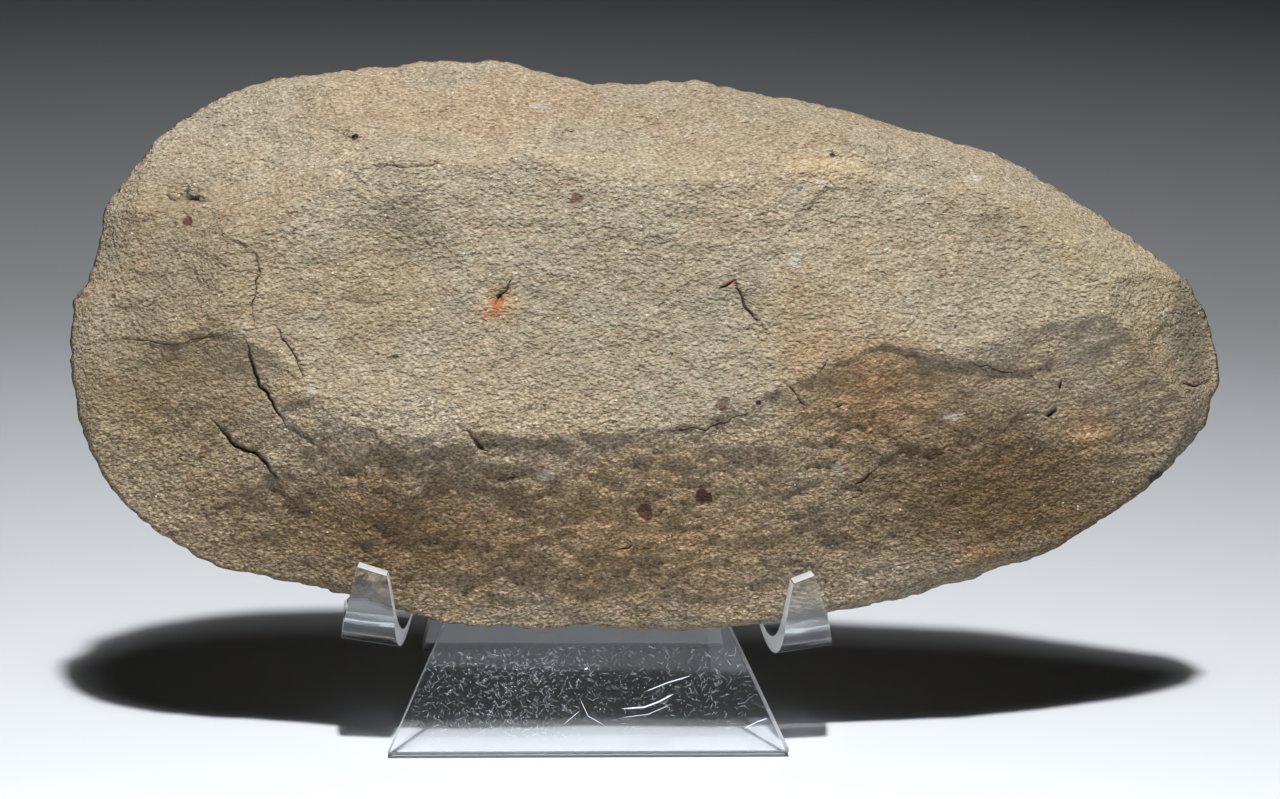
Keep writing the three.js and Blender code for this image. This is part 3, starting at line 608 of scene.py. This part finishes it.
def shape_celt(x, z, side):
    """The stone's points before and after the relief, and what its material needs at each."""
    ring, share = outline.ring_and_share(x, z)
    is_rim = side == 0
    is_front = side < 0
    ring = np.where(is_rim, 1.0, np.minimum(ring, 1.0))

    flat_place = np.stack([x, side, z], axis=1)
    loose = np.clip((1 - ring) * WARP_FADE, 0, 1)
    shift_x = loose * sum(size * wobble(flat_place, wave, seed) for size, wave, seed, _ in FACET_WARP)
    shift_z = loose * sum(size * wobble(flat_place, wave, seed) for size, wave, _, seed in FACET_WARP)
    front = face_height(
        x + shift_x, z + shift_z, ring, FRONT_BULGE, FULL_LENS_POWERS["front"], FRONT_SCARS,
    )
    back = face_height(x, z, ring, BACK_BULGE, FULL_LENS_POWERS["back"], back_scars())
    height = np.where(is_rim, 0.0, np.where(is_front, front, back))
    middle = edge_wave(share) * ring ** 4
    base = np.stack([x, middle + np.where(is_front, -height, height), z], axis=1)

    marks, crevice_shade = front_marks(x, z)
    marks = np.where(is_front, marks, 0.0)
    crevice_shade = np.where(is_front | is_rim, crevice_shade, 0.0)
    scaly = base * np.array(SCALY_STRETCH)
    coarse = sum(size * wobble(base, wave, seed) for size, wave, seed in COARSE_RELIEF)
    size, wave, seed = FINE_RELIEF
    fine = size * wobble(scaly, wave, seed)
    size, wave, seed = FINEST_RELIEF
    fine = fine + size * wobble(base, wave, seed)
    size, wave, seed = ROUGH_WANDER
    wander = size * flat_wobble(np.stack([x, z], axis=1), wave, seed)
    low = smooth((ROUGH_BELOW - z + wander) / ROUGH_BLEND)
    coarse *= 1 - ROUGH_LESS_COARSE * low
    fine *= 1 + ROUGH_MORE_FINE * low
    fade = np.clip((1 - ring) * RELIEF_FADE, 0, 1)
    deepest = DEEPEST_SHARE * height + DEEPEST_AT_RIM
    depth = np.minimum((SINK - coarse - fine + marks) * fade, deepest)

    # Small nicks all along the edge, cut towards the middle of the stone.
    rim_x, rim_z = outline.point(share)
    rim_place = np.stack([rim_x, np.zeros_like(rim_x), rim_z], axis=1)
    size, wave, seed, power = SCALLOP
    scallop = np.maximum(0, wobble(rim_place, wave, seed)) * size * ring ** power
    small, small_wave, small_seed = SMALL_NICK
    size, wave, seed, power = NICK
    chipped = NICK_BIAS + wobble(rim_place, wave, seed) + small * wobble(rim_place, small_wave, small_seed)
    nick = np.maximum(0, chipped) * size * ring ** power
    radius = np.maximum(1.0, np.hypot(base[:, 0], base[:, 2] - GIRDLE_UP))
    inset = 1 - (scallop + nick) / radius
    rise = np.where(is_front, 1.0, -1.0) * depth
    shaped = np.stack([
        base[:, 0] * inset, base[:, 1] + rise, GIRDLE_UP + (base[:, 2] - GIRDLE_UP) * inset,
    ], axis=1)
    tint, stain_and_pit_shade_colour, stain_and_pit_shade = stone_tint(x, z)
    tint[side > 0] = BACK_TINT
    stain_and_pit_shade[side > 0] = 0
    # Share of the speckle's painted grain light and shade: the lower band in front, a little on the back.
    rough = np.where(is_front, low, BACK_GRAIN_LIGHT_AND_SHADE)
    shares = {"crevice_shade": crevice_shade, "stain_and_pit_shade": stain_and_pit_shade, "rough": rough}
    return base, shaped, shares, {"tint": tint, "stain_and_pit_shade_colour": stain_and_pit_shade_colour}


def lean(points):
    turn = math.radians(-CELT_LEAN)
    turned = points.copy()
    turned[:, 1] = points[:, 1] * math.cos(turn) - points[:, 2] * math.sin(turn)
    turned[:, 2] = points[:, 1] * math.sin(turn) + points[:, 2] * math.cos(turn)
    return turned


def build_celt():
    """The stone, in the place of its node's box."""
    places, side, faces = flat_mesh()
    base, shaped, shares, colours = shape_celt(places[:, 0], places[:, 1], side)
    base, turned = lean(base) * MM, lean(shaped) * MM
    low, high = (np.array(corner[:]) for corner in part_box("celt"))
    offset = (low + high) / 2 - (base.min(axis=0) + base.max(axis=0)) / 2
    placed = np.clip(turned + offset, low, high)
    mesh = bpy.data.meshes.new("celt_stone")
    mesh.from_pydata(placed.tolist(), [], faces)
    for name, values in shares.items():
        mesh.attributes.new(name, "FLOAT", "POINT").data.foreach_set("value", values.astype(np.float32))
    for name, values in colours.items():
        filled = np.concatenate([values, np.ones((len(values), 1))], axis=1).astype(np.float32)
        mesh.color_attributes.new(name, "FLOAT_COLOR", "POINT").data.foreach_set("color", filled.ravel())
    mesh.polygons.foreach_set("use_smooth", np.ones(len(mesh.polygons), bool))
    piece = bpy.data.objects.new("celt_stone", mesh)
    bpy.context.scene.collection.objects.link(piece)
    return piece


celt = build_celt()
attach(celt, "root")
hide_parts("celt")


# Materials

def new_material(name):
    material = bpy.data.materials.new(name)
    material.use_nodes = True
    return material.node_tree, material.node_tree.nodes["Principled BSDF"], material


class Nodes:
    """Short names for the nodes that the materials are made of."""

    def __init__(self, tree):
        self.tree = tree
        coordinates = tree.nodes.new("ShaderNodeTexCoord")
        self.place = coordinates.outputs["Object"]

    def link(self, value, socket):
        if isinstance(value, (int, float, tuple)):
            socket.default_value = value
        else:
            self.tree.links.new(value, socket)

    def mapping(self, size, stretch=(1, 1, 1), turn=(0, 0, 0), shift=(0, 0, 0)):
        """Object coordinates in which a length of size millimetres is 1."""
        node = self.tree.nodes.new("ShaderNodeMapping")
        self.link(self.place, node.inputs["Vector"])
        node.inputs["Rotation"].default_value = [math.radians(v) for v in turn]
        node.inputs["Location"].default_value = shift
        node.inputs["Scale"].default_value = [1000 / (size * v) for v in stretch]
        return node.outputs["Vector"]

    def noise(self, size, detail=2.0, stretch=(1, 1, 1), turn=(0, 0, 0), shift=(0, 0, 0), rough=0.55):
        node = self.tree.nodes.new("ShaderNodeTexNoise")
        self.link(self.mapping(size, stretch, turn, shift), node.inputs["Vector"])
        node.inputs["Scale"].default_value = 1.0
        node.inputs["Detail"].default_value = detail
        node.inputs["Roughness"].default_value = rough
        return node.outputs["Fac"]

    def cells(self, size, shift=(0, 0, 0)):
        node = self.tree.nodes.new("ShaderNodeTexVoronoi")
        self.link(self.mapping(size, shift=shift), node.inputs["Vector"])
        node.inputs["Scale"].default_value = 1.0
        return node.outputs["Distance"], node.outputs["Color"]

    def ramp(self, value, low, high, out_low=0.0, out_high=1.0):
        node = self.tree.nodes.new("ShaderNodeMapRange")
        node.interpolation_type = "SMOOTHSTEP"
        self.link(value, node.inputs["Value"])
        node.inputs["From Min"].default_value = low
        node.inputs["From Max"].default_value = high
        node.inputs["To Min"].default_value = out_low
        node.inputs["To Max"].default_value = out_high
        return node.outputs["Result"]

    def math(self, operation, first, second=0.0):
        node = self.tree.nodes.new("ShaderNodeMath")
        node.operation = operation
        self.link(first, node.inputs[0])
        self.link(second, node.inputs[1])
        return node.outputs["Value"]

    def mix(self, share, first, second, blend="MIX"):
        node = self.tree.nodes.new("ShaderNodeMix")
        node.data_type = "RGBA"
        node.blend_type = blend
        self.link(share, node.inputs["Factor"])
        self.link(first, node.inputs[6])
        self.link(second, node.inputs[7])
        return node.outputs[2]

    def attribute(self, name, output="Fac"):
        node = self.tree.nodes.new("ShaderNodeAttribute")
        node.attribute_name = name
        return node.outputs[output]

    def bump(self, height, distance, strength=1.0, normal=None):
        node = self.tree.nodes.new("ShaderNodeBump")
        node.inputs["Strength"].default_value = strength
        node.inputs["Distance"].default_value = distance * MM
        self.link(height, node.inputs["Height"])
        if normal is not None:
            self.link(normal, node.inputs["Normal"])
        return node.outputs["Normal"]


def separate_red(nodes, colour):
    node = nodes.tree.nodes.new("ShaderNodeSeparateColor")
    nodes.link(colour, node.inputs["Color"])
    return node.outputs["Red"]


# Sandstone: colours of its grains, in linear light.
GRAIN_DARK = (0.168, 0.125, 0.076, 1)
GRAIN_MIDDLE = (0.268, 0.229, 0.167, 1)
GRAIN_LIGHT = (0.41, 0.368, 0.291, 1)
QUARTZ = (0.6, 0.58, 0.54, 1)
DARK_GRAIN = (0.06, 0.045, 0.035, 1)
# The crevice colour is painted shade, laid into cracks and along step scarps.
CREVICE_SHADE = (0.05, 0.034, 0.022, 1)

# What the patterns multiply the colour by, at their lowest and highest.
SCALE_TONES = (0.93, 0.92, 0.91, 1), (1.05, 1.05, 1.05, 1)
PATCH_TONES = (1.03, 0.98, 0.93, 1), (0.985, 1.0, 1.01, 1)
MOTTLE_TONES = (0.93, 0.92, 0.9, 1), (1.06, 1.06, 1.06, 1)
# The speckle's range on the lower band stands in for the light and shade of its grains under grazing light:
# painted light and shade.
SPECKLE_LIGHT_AND_SHADE = 0.6, 1.38

# Sizes of the patterns in millimetres, and how the grains lie: longer across, slanting up.
GRAIN_SIZE = 0.42
SCALE_SIZE = 2.6
PATCH_SIZE = 14.0
MOTTLE_SIZE = 3.5
SPARK_SIZE = 0.9
SPECK_SIZE = 1.3
LYING = (1.5, 1, 1)
SLANT = (0, 22, 0)


def scattered(nodes, size, least, reach, shift=(0, 0, 0)):
    """A thin scatter of grains: only cells above least have one, which fades over its reach."""
    gap, cell = nodes.cells(size, shift=shift)
    chosen = nodes.ramp(separate_red(nodes, cell), least, least + 0.01)
    return nodes.math("MULTIPLY", chosen, nodes.ramp(gap, *reach))


def sandstone_material():
    tree, shader, material = new_material("sandstone")
    nodes = Nodes(tree)
    lying = {"stretch": LYING, "turn": SLANT}
    fine = nodes.noise(GRAIN_SIZE, detail=3.0, **lying)
    scaly = nodes.noise(SCALE_SIZE, detail=3.0, stretch=LYING)
    patchy = nodes.noise(PATCH_SIZE, detail=4.0)
    mottled = nodes.noise(MOTTLE_SIZE, detail=3.0, shift=(3, 7, 1))

    def multiplied(colour, by):
        return nodes.mix(1.0, colour, by, "MULTIPLY")

    grain = nodes.mix(nodes.ramp(fine, 0.32, 0.52), GRAIN_DARK, GRAIN_MIDDLE)
    grain = nodes.mix(nodes.ramp(fine, 0.5, 0.74), grain, GRAIN_LIGHT)
    grain = multiplied(grain, nodes.mix(nodes.ramp(scaly, 0.35, 0.65), *SCALE_TONES))
    grain = multiplied(grain, nodes.mix(nodes.ramp(patchy, 0.38, 0.62), *PATCH_TONES))
    grain = multiplied(grain, nodes.mix(nodes.ramp(mottled, 0.3, 0.7), *MOTTLE_TONES))
    # The tint holds the colour zones and the painted shade of the lower band, hollows and steps.
    grain = multiplied(grain, nodes.attribute("tint", "Color"))

    # Stronger light and dark grains where the rough attribute is high: partly grain colour, partly painted
    # light and shade of the grains under grazing light.
    speckle = nodes.noise(GRAIN_SIZE, detail=2.0, shift=(9, 3, 5), **lying)
    grain_light_and_shade = multiplied(grain, nodes.ramp(speckle, 0.32, 0.68, *SPECKLE_LIGHT_AND_SHADE))
    grain = nodes.mix(nodes.attribute("rough"), grain, grain_light_and_shade)
    spark = scattered(nodes, SPARK_SIZE, 0.96, (0.24, 0.14))
    grain = nodes.mix(nodes.math("MULTIPLY", spark, 0.75), grain, QUARTZ)
    speck = scattered(nodes, SPECK_SIZE, 0.95, (0.3, 0.16), shift=(5, 2, 9))
    grain = nodes.mix(nodes.math("MULTIPLY", speck, 0.7), grain, DARK_GRAIN)

    # Stains, and painted shade in the small pits, laid over the grain.
    stain_and_pit_shade_colour = nodes.attribute("stain_and_pit_shade_colour", "Color")
    stain_and_pit_shade_colour = nodes.mix(0.3, stain_and_pit_shade_colour, nodes.mix(1.0, stain_and_pit_shade_colour, grain, "OVERLAY"))
    grain = nodes.mix(nodes.attribute("stain_and_pit_shade"), grain, stain_and_pit_shade_colour)
    # Painted shade in cracks and along step scarps.
    hollow = nodes.math("MULTIPLY", nodes.attribute("crevice_shade"), 0.7)
    grain = nodes.mix(hollow, grain, CREVICE_SHADE)
    nodes.link(grain, shader.inputs["Base Color"])

    shader.inputs["Roughness"].default_value = 0.9
    shader.inputs["Specular IOR Level"].default_value = 0.3
    relief = nodes.bump(scaly, 0.7)
    for size, distance, shift in ((1.1, 0.5, (2, 4, 6)), (0.55, 0.6, (7, 1, 3))):
        grains = nodes.noise(size, detail=1.5, shift=shift, **lying)
        relief = nodes.bump(grains, distance, normal=relief)
    nodes.link(relief, shader.inputs["Normal"])
    return material


celt.data.materials.append(sandstone_material())


# Easel: the clear sheet, its sawn edges and the marks on its faces.
SHEET = 3.2
SHEET_SPREAD = 0.3
ACRYLIC_IOR = 1.49
EDGE_BEVEL = 0.18
CREASE = math.radians(24)
FLAT_AREA = 120.0

# Marks on the front leg's face: points of each as x and distance up the sheet, and half its width.
LEG_SLOPE = math.radians(53)
FOOT_FLAT = 0.55
FOOT_RISE = SHEET * math.cos(LEG_SLOPE) - FOOT_FLAT
LEG_OUT = Vector((0, -math.sin(LEG_SLOPE), math.cos(LEG_SLOPE)))
LEG_FOOT = Vector((0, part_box("display_stand")[0][1], FOOT_RISE * MM))
HOOK_OUT = 0.3
FOOT_TOP = 2.2
LEG_MARKS = [
    ([(-5.4, 7.6), (-1.4, 7.9), (1.2, 8.9), (3.8, 10.3)], 0.14),
    ([(-1.0, 10.8), (2.6, 12.3), (6.8, 13.6)], 0.09), ([(-5.3, 6.0), (-0.8, 6.6), (3.1, 8.3)], 0.05),
    ([(-12.6, 9.3), (-11.3, 6.3), (-8.6, 4.7)], 0.05), ([(-15.7, 4.7), (-12.6, 7.4)], 0.05),
    ([(16.1, 4.0), (18.4, 5.2), (20.2, 5.8)], 0.09), ([(-11.8, 14.8), (-11.2, 15.1)], 0.14),
]
FINE_SCRATCHES = 1700
DUST = 600
HAZE = [(-32, 15, 7, 4), (-18, 13, 7, 4), (-27, 6.5, 9, 3), (8, 12, 9, 5), (-5, 9, 22, 7)]
MARK_LIFT = 0.012
MARK_BAND = 2, 24
LEG_MIDDLE = -11.2
MARK_HALF = 33
MARK_NARROWING = 0.3
SCRATCH_HALF = 0.12, 0.7
SCRATCH_WIDTH = 0.006, 0.016
DUST_HALF = 0.025, 0.07
WELD = 0.001
FLATNESS = math.radians(0.5)
OPPOSITE = -0.96
CLEAR, SAWN, SCRATCHED, HOOKS, SHADED_FOOT = range(5)


def out_of_leg(place):
    """How far a place is in front of the front leg's face."""
    return (place - LEG_FOOT).dot(LEG_OUT)


def add_leg_marks(form):
    """Scratches and dust as thin strips just over the front leg's face."""
    rng = np.random.default_rng(5)
    marks = list(LEG_MARKS)
    for n in range(FINE_SCRATCHES + DUST):
        mid_x, mid_up, half_x, half_up = HAZE[n % len(HAZE)]
        x, up = rng.normal(mid_x, half_x), rng.normal(mid_up, half_up)
        is_off = abs(x - LEG_MIDDLE) > MARK_HALF - MARK_NARROWING * up
        if up < MARK_BAND[0] or up > MARK_BAND[1] or is_off:
            continue
        if n < FINE_SCRATCHES:
            turn = rng.uniform(-1.4, 1.4)
            half, width = rng.uniform(*SCRATCH_HALF), rng.uniform(*SCRATCH_WIDTH)
        else:
            turn, half = 0.0, rng.uniform(*DUST_HALF)
            width = half
        run, rise = half * math.cos(turn), half * math.sin(turn)
        marks.append(([(x - run, up - rise), (x + run, up + rise)], width))
    foot = LEG_FOOT + LEG_OUT * MARK_LIFT * MM
    uphill = Vector((0, math.cos(LEG_SLOPE), math.sin(LEG_SLOPE)))
    for points, half in marks:
        line = np.array(points)
        share = np.linspace(0, 1, len(line))
        at = np.linspace(0, 1, 4 * (len(line) - 1) + 1)
        line = np.stack([np.interp(at, share, line[:, 0]), np.interp(at, share, line[:, 1])], axis=1)
        width = half * np.minimum(1, 6 * np.minimum(at, 1 - at) + 0.15)
        left, right = (
            [form.verts.new(foot + Vector((x * MM, 0, 0)) + uphill * up * MM) for x, up in side]
            for side in (offset_line(line, -width), offset_line(line, width))
        )
        for n in range(len(line) - 1):
            face = form.faces.new((left[n], right[n], right[n + 1], left[n + 1]))
            face.material_index = SCRATCHED


def is_sheet_face(tree, face):
    """Whether a face has its like on the other side of the sheet, one thickness behind it."""
    inward = -face.normal
    centre = face.calc_center_median()
    _, normal, _, gap = tree.ray_cast(centre + inward * 0.01 * MM, inward)
    if gap is None or abs(gap / MM - SHEET) >= SHEET_SPREAD:
        return False
    return normal.dot(face.normal) < OPPOSITE


def build_easel():
    """The easel's own form with fine rounded edges, its faces told from its sawn edges."""
    form = bmesh.new()
    form.from_mesh(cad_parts["display_stand"].data)
    bmesh.ops.remove_doubles(form, verts=form.verts, dist=WELD * MM)
    form.faces.ensure_lookup_table()
    tree = BVHTree.FromBMesh(form)
    for face in form.faces:
        face.material_index = CLEAR if is_sheet_face(tree, face) else SAWN
    bmesh.ops.dissolve_limit(
        form, angle_limit=FLATNESS, verts=form.verts, edges=form.edges, delimit={"MATERIAL"},
    )
    sharp = [edge for edge in form.edges if edge.is_manifold and edge.calc_face_angle(0) > CREASE]
    bmesh.ops.bevel(
        form, geom=sharp, offset=EDGE_BEVEL * MM, segments=2, profile=0.5, affect="EDGES",
        clamp_overlap=True,
    )
    for face in form.faces:
        face.smooth = face.calc_area() < FLAT_AREA * MM ** 2
    for edge in form.edges:
        edge.smooth = not edge.is_manifold or edge.calc_face_angle(0) < CREASE
    for face in form.faces:
        middle = face.calc_center_median()
        if face.material_index == CLEAR and out_of_leg(middle) > HOOK_OUT * MM:
            face.material_index = HOOKS
        # Sawn faces at the feet get a darker copy of the sawn material: painted shade where the sheet meets
        # the floor.
        if face.material_index == SAWN and middle.z < FOOT_TOP * MM:
            face.material_index = SHADED_FOOT
    add_leg_marks(form)
    mesh = bpy.data.meshes.new("display_easel")
    form.to_mesh(mesh)
    form.free()
    piece = bpy.data.objects.new("display_easel", mesh)
    bpy.context.scene.collection.objects.link(piece)
    return piece


def clear_material(name, alpha, transmission):
    """Clear sheet. A low alpha lets light through to the floor, as real sheet does."""
    tree, shader, material = new_material(name)
    shader.inputs["Base Color"].default_value = (0.88, 0.94, 1.0, 1)
    shader.inputs["IOR"].default_value = ACRYLIC_IOR
    shader.inputs["Transmission Weight"].default_value = transmission
    shader.inputs["Alpha"].default_value = alpha
    nodes = Nodes(tree)
    scuffs = nodes.noise(9.0, detail=5.0)
    nodes.link(nodes.ramp(scuffs, 0.4, 0.75, 0.01, 0.1), shader.inputs["Roughness"])
    return material


def sawn_material(name, colour, transmission):
    _, shader, material = new_material(name)
    shader.inputs["Base Color"].default_value = colour
    shader.inputs["IOR"].default_value = ACRYLIC_IOR
    shader.inputs["Transmission Weight"].default_value = transmission
    shader.inputs["Roughness"].default_value = 0.45
    return material


def scratch_material():
    _, shader, material = new_material("clear_acrylic_scratches")
    shader.inputs["Base Color"].default_value = (0.48, 0.53, 0.6, 1)
    shader.inputs["Roughness"].default_value = 0.6
    return material


easel = build_easel()
for material in (
    clear_material("clear_acrylic", 0.2, 0.972),
    sawn_material("clear_acrylic_sawn", (0.9, 0.92, 0.92, 1), 0.7),
    scratch_material(),
    clear_material("clear_acrylic_hooks", 0.75, 0.985),
    # The feet's darker copy of the sawn edge is painted shade near the floor.
    sawn_material("clear_acrylic_foot_shaded", (0.42, 0.43, 0.44, 1), 0.3),
):
    easel.data.materials.append(material)
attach(easel, "root")
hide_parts("display_stand")


# Camera, in the pose worked out from the photograph's view of the sheet's foot and the hooks.
CAMERA_PLACE = Vector((-44.25, -610.97, 220.68)) * MM
CAMERA_DOWN = 15.0
CAMERA_YAW = 4.0
CAMERA_ROLL = 1.2
CAMERA_LENS = 100.0


def add_camera():
    camera = bpy.data.objects.new("camera", bpy.data.cameras.new("camera"))
    camera.data.sensor_width = 36
    camera.data.lens = CAMERA_LENS
    camera.data.clip_start = 0.01
    camera.data.clip_end = 20
    turn = Matrix.Rotation(math.radians(-CAMERA_YAW), 4, "Z")
    tilt = Matrix.Rotation(math.radians(90 - CAMERA_DOWN), 4, "X")
    roll = Matrix.Rotation(math.radians(CAMERA_ROLL), 4, "Z")
    camera.matrix_world = Matrix.Translation(CAMERA_PLACE) @ turn @ tilt @ roll
    bpy.context.scene.collection.objects.link(camera)
    bpy.context.scene.camera = camera


def add_area_light(name, place, target, size, power, spread=180, colour=(1, 1, 1)):
    light = bpy.data.objects.new(name, bpy.data.lights.new(name, "AREA"))
    light.data.shape = "ELLIPSE"
    light.data.size, light.data.size_y = size
    light.data.energy = power
    light.data.spread = math.radians(spread)
    light.data.color = colour
    light.location = place
    light.rotation_euler = (Vector(target) - Vector(place)).to_track_quat("-Z", "Y").to_euler()
    bpy.context.scene.collection.objects.link(light)


FLOOR_CORNERS = [(-4, -3), (4, -3), (4, 5), (-4, 5)]


def add_floor():
    mesh = bpy.data.meshes.new("floor")
    mesh.from_pydata([(*corner, 0) for corner in FLOOR_CORNERS], [], [(0, 1, 2, 3)])
    floor = bpy.data.objects.new("floor", mesh)
    bpy.context.scene.collection.objects.link(floor)
    _, shader, material = new_material("floor_paper")
    shader.inputs["Base Color"].default_value = (0.435, 0.455, 0.48, 1)
    shader.inputs["Roughness"].default_value = 0.7
    mesh.materials.append(material)


def set_world():
    world = bpy.data.worlds.new("studio")
    world.use_nodes = True
    world.node_tree.nodes["Background"].inputs["Color"].default_value = (0.9, 0.93, 1, 1)
    world.node_tree.nodes["Background"].inputs["Strength"].default_value = 0.01
    bpy.context.scene.world = world


add_camera()
add_floor()
set_world()

# One light above the front, in a hard and a soft part, each with a narrow and a wide beam.
KEY_PLACE = (0.0, -0.4, 1.45)
KEY_POWER = 4.1
KEY_PARTS = [("key_hard", (0.09, 0.09), 0.8), ("key_soft", (0.44, 0.12), 0.2)]
KEY_BEAMS = [("_narrow", (-0.02, -0.4, 0.0), 52), ("_wide", (-0.02, -0.2, 0.0), 76)]
FILL_POWER = 1.2
FILL_COLOUR = (1, 0.95, 0.88)
add_area_light("fill", (-0.1, -1.7, 0.22), (0, 0, 0.06), (0.6, 0.3), FILL_POWER, colour=FILL_COLOUR)
for part, size, share in KEY_PARTS:
    for beam, aim, spread in KEY_BEAMS:
        add_area_light(part + beam, KEY_PLACE, aim, size, KEY_POWER * share, spread=spread)
bpy.context.scene.view_settings.view_transform = "Standard"
